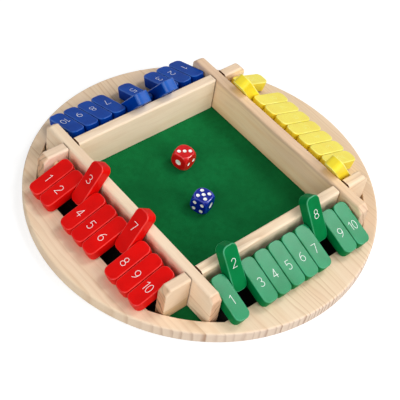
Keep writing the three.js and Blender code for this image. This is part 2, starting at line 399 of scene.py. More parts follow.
def distance_field(strokes, xs, ys):
    """How far each point of the grid is from the edge of the ink, less than nothing inside it."""
    gx, gy = np.meshgrid(xs, ys, indexing="ij")
    best = np.full(gx.shape, np.inf)
    for stroke in strokes:
        for (ax, ay), (bx, by) in zip(stroke, stroke[1:]):
            dx, dy = bx - ax, by - ay
            t = np.clip(((gx - ax) * dx + (gy - ay) * dy) / max(dx * dx + dy * dy, TINY), 0, 1)
            best = np.minimum(best, np.hypot(gx - ax - t * dx, gy - ay - t * dy))
    return best - STROKE / PRINT_SCALE / 2


# Which cell edges a contour joins, by which corners are inside: bottom, right, top and left
CELL = {1: ["bl"], 2: ["rb"], 3: ["rl"], 4: ["tr"], 5: ["bl", "tr"], 6: ["tb"], 7: ["tl"], 8: ["lt"],
        9: ["bt"], 10: ["rb", "lt"], 11: ["rt"], 12: ["lr"], 13: ["br"], 14: ["lb"]}


def contours(strokes):
    """Closed outlines of the strokes' ink, outer ones counterclockwise and holes clockwise."""
    xs = np.arange(-CONTOUR_HALF_WIDTH, CONTOUR_HALF_WIDTH, CONTOUR_STEP)
    ys = np.arange(-CONTOUR_HALF_HEIGHT, CONTOUR_HALF_HEIGHT, CONTOUR_STEP)
    field = distance_field(strokes, xs, ys)
    inside = field < 0
    follow = {}
    where = {}
    for i in range(len(xs) - 1):
        for j in range(len(ys) - 1):
            edges = {"b": ((i, j), (i + 1, j)), "t": ((i, j + 1), (i + 1, j + 1)),
                     "l": ((i, j), (i, j + 1)), "r": ((i + 1, j), (i + 1, j + 1))}
            code = inside[i, j] + 2 * inside[i + 1, j] + 4 * inside[i + 1, j + 1] + 8 * inside[i, j + 1]
            for start, end in CELL.get(int(code), ()):
                keys = []
                for side in (start, end):
                    a, b = edges[side]
                    share = field[a] / (field[a] - field[b])
                    where[a, b] = (xs[a[0]] + share * (xs[b[0]] - xs[a[0]]),
                                   ys[a[1]] + share * (ys[b[1]] - ys[a[1]]))
                    keys.append((a, b))
                follow[keys[0]] = keys[1]
    loops = []
    while follow:
        key = next(iter(follow))
        loop = []
        while key in follow:
            loop.append(where[key])
            key = follow.pop(key)
        loops.append(thinned(loop))
    return loops


def thinned(loop):
    """The loop without the points that lie on the line between their kept neighbours."""
    kept = [loop[0]]
    held = []
    for point in loop[1:] + loop[:1]:
        a = Vector(kept[-1])
        line = Vector(point) - a
        length = max(line.length, TINY)
        off = max((abs(line.cross(Vector(h) - a)) / length for h in held), default=0)
        if off > CONTOUR_TOLERANCE or len(held) > CONTOUR_MOST_LEFT_OUT:
            kept.append(held[-1])
            held = []
        held.append(point)
    return kept


def area(loop):
    """More than nothing for a counterclockwise loop."""
    return sum(a[0] * b[1] - b[0] * a[1] for a, b in zip(loop, loop[1:] + loop[:1])) / 2


def print_mesh(number):
    """The ink of a number: a thin plate with the outline of its strokes."""
    loops = contours(GLYPHS[number])
    outers = [loop for loop in loops if area(loop) > 0]
    holes = [loop for loop in loops if area(loop) < 0]
    bm = bmesh.new()
    for outer in outers:
        xs = [x for x, _ in outer]
        group = [outer] + [hole for hole in holes if min(xs) < hole[0][0] < max(xs)]
        flat = [point for loop in group for point in loop]
        triangles = tessellate_polygon([[Vector((x, y, 0)) for x, y in loop] for loop in group])
        top = [bm.verts.new((x, y, PRINT_HEIGHT)) for x, y in flat]
        low = [bm.verts.new((x, y, -PRINT_HEIGHT)) for x, y in flat]
        for a, b, c in triangles:
            bm.faces.new((top[a], top[b], top[c]))
            bm.faces.new((low[c], low[b], low[a]))
        start = 0
        for loop in group:
            for i in range(len(loop)):
                j = (i + 1) % len(loop)
                bm.faces.new((top[start + i], top[start + j], low[start + j], low[start + i]))
            start += len(loop)
    return finish_mesh(bm, f"number_{number}")


def both_faces(mesh):
    """The number on the two faces of a tile: read from outside when flat, and from outside when raised."""
    bm = bmesh.new()
    for up, out, centre in ((-1, 1, PRINT_CENTRE), (1, -1, RAISED_PRINT_CENTRE)):
        copy = mesh.copy()
        size = PRINT_SCALE
        copy.transform(Matrix(((0, up * size, 0, centre), (size, 0, 0, 0),
                               (0, 0, out, out * HALF_TILE), (0, 0, 0, 1))))
        bm.from_mesh(copy)
        bpy.data.meshes.remove(copy)
    return finish_mesh(bm, "numbers")


# Dice

PIPS = {
    1: [(0, 0)],
    2: [(-1, 0), (1, 0)],
    3: [(-1, -1), (0, 0), (1, 1)],
    4: [(-1, -1), (-1, 1), (1, -1), (1, 1)],
    5: [(-1, -1), (-1, 1), (0, 0), (1, -1), (1, 1)],
    6: [(-1, -1), (-1, 0), (-1, 1), (1, -1), (1, 0), (1, 1)],
}


def lens(radius, at, turn):
    """A dished cutter for one pip: a shallow cap below the face, and a short flare above it."""
    ball = (radius ** 2 + PIP_DEPTH ** 2) / (2 * PIP_DEPTH)
    edge = math.asin(radius / ball)
    slopes = [edge * k / PIP_STEPS for k in range(1, PIP_STEPS + 1)]
    rings = [(ball * math.sin(slope), ball * (1 - math.cos(slope)) - PIP_DEPTH) for slope in slopes]
    rings += [(radius + PIP_FLARE, PIP_FLARE_HEIGHT), (radius + PIP_FLARE, PIP_CUTTER_TOP)]
    bm = bmesh.new()
    bottom = bm.verts.new((0, 0, -PIP_DEPTH))
    loops = [[bm.verts.new((r * math.cos(a), r * math.sin(a), z))
              for a in np.linspace(0, math.tau, PIP_SIDES, endpoint=False)] for r, z in rings]
    for i in range(PIP_SIDES):
        j = (i + 1) % PIP_SIDES
        bm.faces.new((bottom, loops[0][j], loops[0][i]))
        for low, high in zip(loops, loops[1:]):
            bm.faces.new((low[i], low[j], high[j], high[i]))
    bm.faces.new(loops[-1])
    bmesh.ops.transform(bm, verts=bm.verts, matrix=Matrix.Translation(at) @ turn)
    return bm


def die_mesh(faces, materials):
    """A cube with soft edges and its corners turned off to a ball, with dished pips.

    A face is its value, where it looks, and 1 or -1 for the way its pips run.
    Material 0 is the faces, 1 the pips and 2 the edges, which are glossier and painted lighter as a painted
    highlight."""
    bm = bmesh.new()
    bmesh.ops.create_cube(bm, size=2)
    bmesh.ops.subdivide_edges(bm, edges=bm.edges[:], cuts=DIE_STEPS - 1, use_grid_fill=True)
    for vertex in bm.verts:
        eased = [math.tan(c * math.pi / 4) for c in vertex.co]
        way = Vector(eased).normalized()
        total = sum((abs(c) / (DIE_SIZE / 2)) ** DIE_SHARPNESS for c in way)
        total += (1 / DIE_CORNER_REACH) ** DIE_SHARPNESS
        vertex.co = way * total ** (-1 / DIE_SHARPNESS)
    tools = bmesh.new()
    for value, normal, spin in faces:
        radius = SINGLE_PIP_RADIUS if value == 1 else PIP_RADIUS
        turn = Vector((0, 0, 1)).rotation_difference(Vector(normal)).to_matrix().to_4x4()
        for u, v in PIPS[value]:
            at = turn @ Vector((u * PIP_OFFSET * spin, v * PIP_OFFSET, DIE_SIZE / 2))
            pip = lens(radius, at, turn)
            shape = finish_mesh(pip, "pip")
            tools.from_mesh(shape)
            bpy.data.meshes.remove(shape)
    cutter = finish_mesh(tools, "pips")
    body = finish_mesh(bm, "die")
    for mesh in (body, cutter):
        for material in materials:
            mesh.materials.append(material)
    for polygon in cutter.polygons:
        polygon.material_index = 1
    mesh = applied(body, [cutter], sharp_degrees=DIE_SHARP_DEGREES)
    least, most = DIE_EDGE_LEANS
    for polygon in mesh.polygons:
        if polygon.material_index == 0 and least < max(abs(c) for c in polygon.normal) < most:
            polygon.material_index = 2
    return mesh


# Materials

def rgb(red, green, blue):
    """A linear colour from the 0 to 255 values that it shows as."""
    def linear(value):
        share = value / 255
        return share / 12.92 if share <= 0.04045 else ((share + 0.055) / 1.055) ** 2.4
    return (linear(red), linear(green), linear(blue), 1.0)


def grey(value):
    return (value, value, value, 1)


class Graph:
    """The nodes of one material."""

    def __init__(self, name):
        self.material = bpy.data.materials.new(name)
        self.material.use_nodes = True
        self.tree = self.material.node_tree
        self.tree.nodes.clear()

    def node(self, kind, inputs=None, **settings):
        made = self.tree.nodes.new(kind)
        for key, value in settings.items():
            setattr(made, key, value)
        for key, value in (inputs or {}).items():
            socket = made.inputs[key]
            if isinstance(value, bpy.types.NodeSocket):
                self.tree.links.new(value, socket)
            else:
                socket.default_value = value
        return made

    def math(self, operation, *values):
        return self.node("ShaderNodeMath", dict(enumerate(values)), operation=operation).outputs[0]

    def scaled(self, vector, scale):
        return self.node("ShaderNodeMapping", {"Vector": vector, "Scale": scale}).outputs[0]

    def split(self, vector):
        return self.node("ShaderNodeSeparateXYZ", {0: vector}).outputs

    def noise(self, scale, detail=2.0, roughness=0.5, vector=None):
        """Noise over a vector, or over the object's own coordinates, in metres."""
        if vector is None:
            vector = self.node("ShaderNodeTexCoord").outputs["Object"]
        return self.node("ShaderNodeTexNoise", {"Vector": vector, "Scale": scale, "Detail": detail,
                                                "Roughness": roughness}).outputs["Fac"]

    def random(self, number):
        """A value and a colour that stay the same for the same number."""
        return self.node("ShaderNodeTexWhiteNoise", {"W": number}, noise_dimensions="1D").outputs

    def mix(self, share, first, second):
        return self.node("ShaderNodeMix", {0: share, 6: first, 7: second}, data_type="RGBA").outputs[2]

    def span(self, value, low, high, to_low=0.0, to_high=1.0):
        return self.node("ShaderNodeMapRange", {0: value, 1: low, 2: high, 3: to_low, 4: to_high},
                         interpolation_type="SMOOTHSTEP").outputs[0]

    def ramp(self, value, stops):
        made = self.node("ShaderNodeValToRGB", {0: value})
        elements = made.color_ramp.elements
        while len(elements) < len(stops):
            elements.new(0.5)
        for element, (position, colour) in zip(elements, stops):
            element.position = position
            element.color = colour
        return made.outputs[0]

    def bump(self, height, distance, strength):
        return self.node("ShaderNodeBump", {"Height": height, "Distance": distance,
                                            "Strength": strength}).outputs[0]

    def surface(self, **sockets):
        """Ends the material in a Principled shader. Socket names are written with underscores."""
        values = {key.replace("_", " "): value for key, value in sockets.items()}
        shader = self.node("ShaderNodeBsdfPrincipled", values)
        output = self.node("ShaderNodeOutputMaterial")
        self.tree.links.new(shader.outputs[0], output.inputs[0])
        return self.material


# Pine. Scales are how often a pattern repeats in a millimetre: across the grain, along it, and in height.
WANDER_SCALE = (0.022, 0.006, 0.022)
WOBBLE_SCALE = (0.12, 0.02, 0.12)
FIBRE_SCALE = (2.6, 0.05, 2.6)
STREAK_SCALE = (0.16, 0.011, 0.16)
CLOUD_SCALE = (0.035, 0.012, 0.035)
STANDING_SHARE = 0.2
WANDER_REACH = 22.0
WOBBLE_REACH = 5.0
# Where one year's ring is dark, from its first wood to its last
RING_STOPS = [(0.0, grey(0.3)), (0.1, grey(0.0)), (0.6, grey(0.1)), (0.92, grey(1)), (1.0, grey(0.3))]
# Spans: from where to where a pattern has its effect, and the shares of that effect at both ends
YEAR_SPAN = (0.25, 1.0, 0.12, 1.0)
END_YEAR_SPAN = (0.0, 1.0, 0.3, 1.0)
CROSS_CUT_SPAN = (0.2, 0.95)
STREAK_SPAN = (0.42, 0.75, 0.0, 0.7)
CLOUD_SPAN = (0.4, 0.75, 0.0, 0.5)
FIBRE_SPAN = (0.45, 0.8, 0.0, 0.22)
STRIP_SPAN = (0.0, 1.0, 0.0, 0.25)
DEEP_STRIP_SPAN = (0.4, 0.6, 0.28, 0.0)
FIBRE_ROUGHNESS = (0.2, 0.8, 0.5, 0.66)
RING_RELIEF = (0.0, 0.4, -0.4, 0.0)
# How strong, how soft and how wavy the painted shade at the foot is
FOOT_SHADE_SHARE = 0.55
FOOT_SHADE_FADE = 8.0
FOOT_SHADE_WAVE = 6.0
CROWN_SHARE = 0.34
CROWN_FADE = (-1.2, 0.6)
RING_SHARE = 0.34
END_RING_SHARE = 0.95
CROSS_CUT_SHARE = 0.85
CLOUD_TONE = rgb(242, 209, 180)
STRIP_TONE = rgb(234, 200, 163)
DEEP_STRIP_TONE = rgb(208, 172, 138)
# The colour of the painted shade at the foot
FOOT_SHADE_TONE = rgb(206, 162, 100)
CROWN_TONE = rgb(208, 168, 144)
# How far the middle of the tree is from a piece: for a strip and for a bar
STRIP_PITH_ACROSS = 260.0
STRIP_PITH_SPREAD = 90.0
STRIP_SLIDE = 900.0
STRIP_PHASE = 0.37
STRIP_PACE = 0.7
BAR_PITH_ACROSS = (31.0, 17.0, 5.1)
BAR_PITH_HEIGHT = (34.0, 9.0, 3.3)
SEED_SLIDE = 137.0
DEEP_STRIP = 2


def pine(name, along, seed, strip=None, ring=4.2, pale=rgb(251, 228, 198), mid=rgb(243, 214, 179),
         dark=rgb(203, 162, 120), end_dark=rgb(122, 80, 52), end_tone=rgb(220, 184, 146), figure=1.5,
         foot_shade=0.0, crown=0.0):
    """Pine with its grain along world X or Y. Annual rings are solid, so sides and ends agree with the top.

    A board glued up from strips has standing rings: fine lines on top, and upright ones in its end grain.
    One strip of it is deeper in tone. A painted shade can darken the foot, up to the given height along a
    wavy line, and crown is the height from which the top is darker. Nothing stands for none."""
    g = Graph(name)
    coordinates = g.node("ShaderNodeTexCoord")
    place_in_mm = g.split(g.scaled(coordinates.outputs["Object"], (1 / MM, 1 / MM, 1 / MM)))
    across, length, height = place_in_mm
    if along == "X":
        across, length = length, across
    length = g.math("ADD", length, SEED_SLIDE * seed)
    if strip:
        index = g.math("FLOOR", g.math("MULTIPLY_ADD", across, 1 / strip, STRIP_PHASE))
        strip_value, strip_colour = g.random(index)
        shifts = g.node("ShaderNodeSeparateColor", {0: strip_colour}).outputs
        length = g.math("MULTIPLY_ADD", shifts[0], STRIP_SLIDE, length)
        pith_across = g.math("MULTIPLY_ADD", shifts[1], STRIP_PITH_SPREAD,
                             g.math("ADD", across, STRIP_PITH_ACROSS))
        pith_height = g.math("MULTIPLY_ADD", shifts[2], STRIP_PITH_SPREAD, -STRIP_PITH_SPREAD / 2)
        pace = g.math("MULTIPLY_ADD", shifts[0], STRIP_PACE, STRIP_PACE)
    else:
        middle, swing, rate = BAR_PITH_ACROSS
        pith_across = g.math("ADD", across, middle + swing * math.sin(seed * rate))
        middle, swing, rate = BAR_PITH_HEIGHT
        pith_height = g.math("ADD", height, middle + swing * math.cos(seed * rate))
        pace = 1.0
    grain = g.node("ShaderNodeCombineXYZ", {0: across, 1: length, 2: height}).outputs[0]

    def pattern(scale, detail, roughness=0.5, upright=1.0):
        return g.noise(1.0, detail, roughness, g.scaled(grain, (scale[0], scale[1], scale[2] * upright)))

    upright = STANDING_SHARE if strip else 1.0
    wander = pattern(WANDER_SCALE, 2.0, upright=upright)
    wobble = pattern(WOBBLE_SCALE, 1.0, upright=upright)
    drift = g.math("MULTIPLY_ADD", wander, WANDER_REACH, g.math("MULTIPLY", wobble, WOBBLE_REACH))
    distance = g.math("SQRT", g.math("ADD", g.math("POWER", pith_across, 2.0),
                                     g.math("POWER", pith_height, 2.0)))
    count = g.math("MULTIPLY", g.math("DIVIDE", g.math("ADD", distance, drift), ring), pace)
    late = g.ramp(g.math("FRACT", count), RING_STOPS)
    year, _ = g.random(g.math("FLOOR", count))
    end_late = g.math("MULTIPLY", late, g.span(year, *END_YEAR_SPAN))
    late = g.math("MULTIPLY", late, g.span(year, *YEAR_SPAN))
    facing = g.split(coordinates.outputs["Normal"])[0 if along == "X" else 1]
    cross_cut = g.span(g.math("ABSOLUTE", facing), *CROSS_CUT_SPAN)

    fibre = pattern(FIBRE_SCALE, 3.0, 0.6)
    colour = g.mix(g.span(pattern(STREAK_SCALE, 2.0), *STREAK_SPAN), pale, mid)
    colour = g.mix(g.span(pattern(CLOUD_SCALE, 1.0), *CLOUD_SPAN), colour, CLOUD_TONE)
    colour = g.mix(g.span(fibre, *FIBRE_SPAN), colour, dark)
    if strip:
        colour = g.mix(g.span(strip_value, *STRIP_SPAN), colour, STRIP_TONE)
    colour = g.mix(g.math("MULTIPLY", late, RING_SHARE * figure), colour, dark)
    # Painted shade at the foot, up to the given height along a wavy line
    if foot_shade:
        edge = g.math("MULTIPLY_ADD", g.math("ADD", wobble, wander), FOOT_SHADE_WAVE, height)
        colour = g.mix(g.span(edge, foot_shade + FOOT_SHADE_FADE, foot_shade, 0.0, FOOT_SHADE_SHARE), colour, FOOT_SHADE_TONE)
    if crown:
        edge = g.math("ADD", wobble, height)
        start, full = CROWN_FADE
        colour = g.mix(g.span(edge, crown + start, crown + full, 0.0, CROWN_SHARE), colour, CROWN_TONE)
    sawn = g.mix(g.math("MULTIPLY", end_late, END_RING_SHARE), end_tone, end_dark)
    colour = g.mix(g.math("MULTIPLY", cross_cut, CROSS_CUT_SHARE), colour, sawn)
    if strip:
        apart = g.math("ABSOLUTE", g.math("SUBTRACT", index, DEEP_STRIP))
        colour = g.mix(g.span(apart, *DEEP_STRIP_SPAN), colour, DEEP_STRIP_TONE)
    rough = g.span(fibre, *FIBRE_ROUGHNESS)
    relief = g.math("MULTIPLY", late, g.span(cross_cut, *RING_RELIEF))
    normal = g.bump(g.math("ADD", fibre, relief), distance=0.00006, strength=0.6)
    return g.surface(Base_Color=colour, Roughness=rough, Normal=normal, Specular_IOR_Level=0.3)


# The other materials. Scales are how often a pattern repeats in a metre, and colours go from 0 to 255.

def seam_shade_paint(name):
    """The end of a piece in its joint, painted dark brown as a painted shade in the seam; it is seen only as
    the seam.
    """
    g = Graph(name)
    tint = g.mix(g.noise(500.0), rgb(112, 70, 42), rgb(70, 42, 26))
    return g.surface(Base_Color=tint, Roughness=0.85, Specular_IOR_Level=0.1)


SIDE_ROUGHNESS = 0.36


def paint(name, colour, shade, specular, roughness=0.3):
    """Satin paint on wood: a little mottled, with the grain just showing in its gloss."""
    colour, shade = rgb(*colour), rgb(*shade)
    g = Graph(name)
    speckle = g.noise(1400.0)
    tint = g.mix(g.span(g.noise(70.0), 0.3, 0.75), colour, shade)
    tint = g.mix(g.span(speckle, 0.55, 0.85, 0.0, 0.25), tint, shade)
    rough = g.span(speckle, 0.2, 0.8, roughness - 0.04, roughness + 0.06)
    normal = g.bump(speckle, distance=0.00002, strength=0.5)
    return g.surface(Base_Color=tint, Roughness=rough, Normal=normal, Specular_IOR_Level=specular)


def print_ink(name, colour, shade):
    """Matt ink, laid on a little unevenly."""
    g = Graph(name)
    tint = g.mix(g.span(g.noise(1100.0), 0.45, 0.8, 0.0, 0.6), rgb(*colour), rgb(*shade))
    return g.surface(Base_Color=tint, Roughness=0.5, Specular_IOR_Level=0.3)


def felt(name):
    """Felt with a fine nap and cloudy wear."""
    g = Graph(name)
    fine = g.noise(1900.0, detail=3.0, roughness=0.7)
    nap = g.noise(230.0, detail=3.0)
    tint = g.mix(g.span(g.noise(24.0), 0.35, 0.7), rgb(13, 114, 58), rgb(10, 101, 50))
    tint = g.mix(g.span(nap, 0.35, 0.7, 0.0, 0.45), tint, rgb(7, 92, 44))
    tint = g.mix(g.span(fine, 0.5, 0.8, 0.0, 0.5), tint, rgb(22, 130, 70))
    normal = g.bump(g.math("ADD", fine, nap), distance=0.00025, strength=0.7)
    return g.surface(Base_Color=tint, Roughness=1.0, Normal=normal, Specular_IOR_Level=0.1,
                     Sheen_Weight=0.06, Sheen_Roughness=0.5, Sheen_Tint=rgb(90, 190, 130))


def plastic(name, colour, deep, specular=0.18):
    """Glossy plastic, faintly clouded, with fine wear in its gloss."""
    g = Graph(name)
    tint = g.mix(g.span(g.noise(160.0), 0.3, 0.7), rgb(*colour), rgb(*deep))
    rough = g.span(g.noise(900.0), 0.3, 0.7, 0.1, 0.18)
    return g.surface(Base_Color=tint, Roughness=rough, Specular_IOR_Level=specular)


def hardboard(name):
    """Black hardboard, matt and slightly mottled."""
    g = Graph(name)
    speckle = g.span(g.noise(600.0, detail=3.0), 0.35, 0.7)
    tint = g.mix(speckle, rgb(14, 13, 12), rgb(30, 28, 25))
    normal = g.bump(g.noise(1500.0), distance=0.0001, strength=0.5)
    return g.surface(Base_Color=tint, Roughness=0.9, Specular_IOR_Level=0.1, Normal=normal)


# The fixed pieces

BOARD_STRIP = 47.0
# A cell of the felt is about this wide. What lies as near its top as the skin is nap.
FELT_CELL = 3.1
FELT_SKIN = 0.1
FELT_SHARP_DEGREES = 40
CUT_TOLERANCE = 1e-5
RANK_WEIGHTS = (1e6, 1e3, 1.0)
POCKET_STEP = math.radians(2)
POCKET_STEPS_EACH_WAY = 7
# The nap dips by up to twice the wave height. Rates are in radians per millimetre.
FELT_WAVE_HEIGHT = 0.035
FELT_ROW_RATE = 0.31
FELT_ROW_BEND = 1.3
FELT_ROW_BEND_RATE = 0.11
FELT_COLUMN_RATES = (0.09, 0.27)

# How the pine of the walls and cheeks departs from the plain one
CHEEK_PINE = dict(pale=rgb(248, 223, 192), mid=rgb(240, 209, 173))
CHEEK_ENDS = dict(end_tone=rgb(212, 164, 122), end_dark=rgb(48, 22, 12))
WALL_PINES = {
    "red": dict(end_tone=rgb(218, 170, 134), end_dark=rgb(142, 92, 64)),
    # The yellow-side wall has a painted shade at its foot.
    "yellow": dict(pale=rgb(255, 226, 187), mid=rgb(250, 213, 166), end_tone=rgb(230, 198, 170),
                   end_dark=rgb(166, 122, 94), foot_shade=9.0, crown=33.6),
    "green": {},
    "blue": dict(pale=rgb(251, 230, 203), mid=rgb(243, 217, 185)),
}
CHEEK_PINES = {
    ("red", 1): dict(pale=rgb(250, 230, 206), mid=rgb(243, 218, 189)),
    # The cheek at red 10 is painted darker, with painted shade rising from its foot.
    ("red", 10): dict(pale=rgb(240, 214, 183), mid=rgb(230, 199, 166), foot_shade=15.0),
    ("yellow", 10): CHEEK_PINE,
    ("yellow", 1): CHEEK_PINE,
}
# Where each kind of piece starts among the grain patterns, and how much a cheek's own number adds
LONG_WALL_SEED = 1.3
SHORT_WALL_SEED = 3.7
CHEEK_SEED = 5.9
CHEEK_NUMBER_SEED = 0.4
DOWEL_SEED = 8.2


def make_board():
    wood = pine("board_pine", "Y", seed=0.0, strip=BOARD_STRIP, figure=1.7, pale=rgb(245, 221, 190),
                mid=rgb(237, 207, 172), end_tone=rgb(232, 211, 192), end_dark=rgb(150, 106, 82))
    place("board_round", board_mesh(), [wood], "board", ["board"])
    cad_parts["base_panel"].material_slots[0].material = hardboard("black_hardboard")


def felt_dip(x, y):
    """How far the nap dips at a point, in a pattern with no plain repeat."""
    rows = math.sin(FELT_ROW_RATE * x + FELT_ROW_BEND * math.sin(FELT_ROW_BEND_RATE * y))
    columns = math.cos(FELT_COLUMN_RATES[1] * y + FELT_COLUMN_RATES[0] * x)
    return FELT_WAVE_HEIGHT * (1 + rows * columns)


def sort_by_place(bm):
    """Extruding leaves an order that changes from run to run, so each element's place settles it."""
    def rank(point):
        return sum(weight * value for weight, value in zip(RANK_WEIGHTS, point))
    bm.verts.sort(key=lambda vertex: rank(vertex.co))
    bm.edges.sort(key=lambda edge: rank(edge.verts[0].co + edge.verts[1].co))
    bm.faces.sort(key=lambda face: rank(face.calc_center_median()))


def felt_mesh():
    """The sheet, and the flat area that it was cut to in square metres.

    It fills the opening but for the troughs, on a grid, so that its nap can rise and fall a little."""
    reach = OPENING_HALF - FELT_MARGIN
    marks = [-reach, -WALL_OUTER, -TRAY_HALF, TRAY_HALF, WALL_OUTER, reach]
    lines = []
    for a, b in zip(marks, marks[1:]):
        count = max(1, round((b - a) / FELT_CELL))
        lines += [a + (b - a) * i / count for i in range(count)]
    lines.append(reach)
    bm = bmesh.new()
    grid = [[bm.verts.new((x, y, FELT_TOP)) for y in lines] for x in lines]
    for i in range(len(lines) - 1):
        for j in range(len(lines) - 1):
            x = abs(lines[i] + lines[i + 1]) / 2
            y = abs(lines[j] + lines[j + 1]) / 2
            in_trough = max(x, y) > WALL_OUTER and min(x, y) < TRAY_HALF
            if not in_trough:
                bm.faces.new((grid[i][j], grid[i + 1][j], grid[i + 1][j + 1], grid[i][j + 1]))
    radius = POCKET_RADIUS - FELT_MARGIN
    for quarter in range(4):
        for k in range(-POCKET_STEPS_EACH_WAY, POCKET_STEPS_EACH_WAY):
            angle = math.pi / 4 + quarter * math.pi / 2 + (k + 0.5) * POCKET_STEP
            normal = Vector((math.cos(angle), math.sin(angle), 0))
            bmesh.ops.bisect_plane(bm, geom=bm.verts[:] + bm.edges[:] + bm.faces[:], dist=CUT_TOLERANCE,
                                   plane_co=normal * radius * math.cos(POCKET_STEP / 2), plane_no=normal,
                                   clear_outer=True)
    loose = [v for v in bm.verts if not v.link_faces]
    bmesh.ops.delete(bm, geom=loose, context="VERTS")
    flat_area = sum(f.calc_area() for f in bm.faces)
    result = bmesh.ops.extrude_face_region(bm, geom=bm.faces[:])
    lowered = [v for v in result["geom"] if isinstance(v, bmesh.types.BMVert)]
    bmesh.ops.translate(bm, verts=lowered, vec=(0, 0, BASE_TOP - FELT_TOP))
    for vertex in bm.verts:
        if vertex.co.z > FELT_TOP - FELT_SKIN:
            vertex.co.z -= felt_dip(vertex.co.x, vertex.co.y)
    sort_by_place(bm)
    return finish_mesh(bm, "felt"), flat_area * MM * MM


def make_felt():
    mesh, area = felt_mesh()
    mesh.shade_smooth()
    mesh.set_sharp_from_angle(angle=math.radians(FELT_SHARP_DEGREES))
    piece = place("felt_sheet", mesh, [felt("green_felt")], "board", ["felt_liner"])


def make_walls(seam):
    """The long walls run across to the ring, with sockets for the rods of the short walls' banks."""
    quarter_turn = Matrix.Rotation(math.pi / 2, 4, "Z")
    for seed, (side, x, face) in enumerate([("red", -WALL_OUTER, -1), ("yellow", TRAY_HALF, 1)]):
        name = f"long_wall_{side}_side"
        wood = pine(f"{name}_pine", "Y", LONG_WALL_SEED + seed, **WALL_PINES[side])
        bar = bar_mesh(2 * ARM_END, True, True, [(ARM_END - HINGE_LINE, face), (ARM_END + HINGE_LINE, face)])
        at = Matrix.Translation((x + WALL_THICKNESS, -ARM_END, FELT_TOP)) @ quarter_turn
        place(f"{name}_bar", bar, [wood], "board", [name], at)
    length = 2 * (TRAY_HALF - JOINT_GAP)
    for seed, (side, y) in enumerate([("green", -WALL_OUTER), ("blue", TRAY_HALF)]):
        name = f"short_wall_{side}_side"
        wood = pine(f"{name}_pine", "X", SHORT_WALL_SEED + seed, **WALL_PINES[side])
        at = Matrix.Translation((-length / 2, y, FELT_TOP))
        place(f"{name}_bar", bar_mesh(length, False, False), [wood, seam], "board", [name], at)


def make_cheeks(seam):
    """The blocks that close the ends of the red and yellow banks, one at tile 1 and one at tile 10."""
    length = ARM_END - WALL_OUTER - JOINT_GAP
    from_wall = HINGE_FROM_WALL - JOINT_GAP
    for seed, (bank, side, ends) in enumerate([("red", -1, (1, 10)), ("yellow", 1, (10, 1))]):
        for number, end in zip(ends, (1, -1)):
            name = f"{bank}_cheek_at_{number}"
            wood = pine(f"{name}_pine", "X", CHEEK_SEED + seed + CHEEK_NUMBER_SEED * number, **CHEEK_ENDS,
                        **CHEEK_PINES[bank, number])
            socket = (from_wall if side > 0 else length - from_wall, -end)
            x = WALL_OUTER + JOINT_GAP if side > 0 else -ARM_END
            at = Matrix.Translation((x, TRAY_HALF if end > 0 else -WALL_OUTER, FELT_TOP))
            block = bar_mesh(length, side < 0, side > 0, [socket])
            place(f"{name}_block", block, [wood, seam], "board", [name], at)


# The banks

def tile_finishes():
    """For each colour: the upper face, the arrises, the sides and lower face, and the free end.

    The arris paints are paler than their colour, a painted highlight, and so is the blue free end. The
    green, yellow and blue upper faces are painted lighter than the same paint on their sides, a painted
    sheen. All upper faces are glossier, and sides stay duller."""
    red_side = paint("red_side", (230, 12, 8), (216, 8, 6), 0.1, SIDE_ROUGHNESS)
    green_side = paint("green_side", (0, 122, 64), (0, 112, 56), 0.03, SIDE_ROUGHNESS)
    yellow_side = paint("yellow_side", (253, 230, 50), (249, 221, 40), 0.4)
    return {
        "red": [paint("red_face", (230, 12, 8), (216, 8, 6), specular=0.12),
                paint("red_arris_painted_highlight", (238, 44, 34), (224, 18, 14), specular=0.4),
                red_side, red_side],
        "green": [paint("green_face", (0, 142, 89), (0, 132, 80), specular=0.27, roughness=0.23),
                  paint("green_arris_painted_highlight", (50, 160, 112), (8, 132, 76), specular=0.4),
                  green_side, green_side],
        "yellow": [paint("yellow_face", (250, 234, 66), (246, 224, 54), specular=0.65),
                   paint("yellow_arris_painted_highlight", (255, 246, 126), (250, 236, 82), specular=0.6),
                   yellow_side, yellow_side],
        "blue": [paint("blue_face", (0, 75, 177), (0, 64, 160), specular=0.05),
                 paint("blue_arris_painted_highlight", (30, 98, 190), (4, 72, 168), specular=0.3),
                 paint("blue_side", (0, 60, 161), (0, 52, 146), 0.05, SIDE_ROUGHNESS),
                 paint("blue_end_painted_highlight", (14, 90, 184), (4, 70, 164), specular=0.35)],
    }


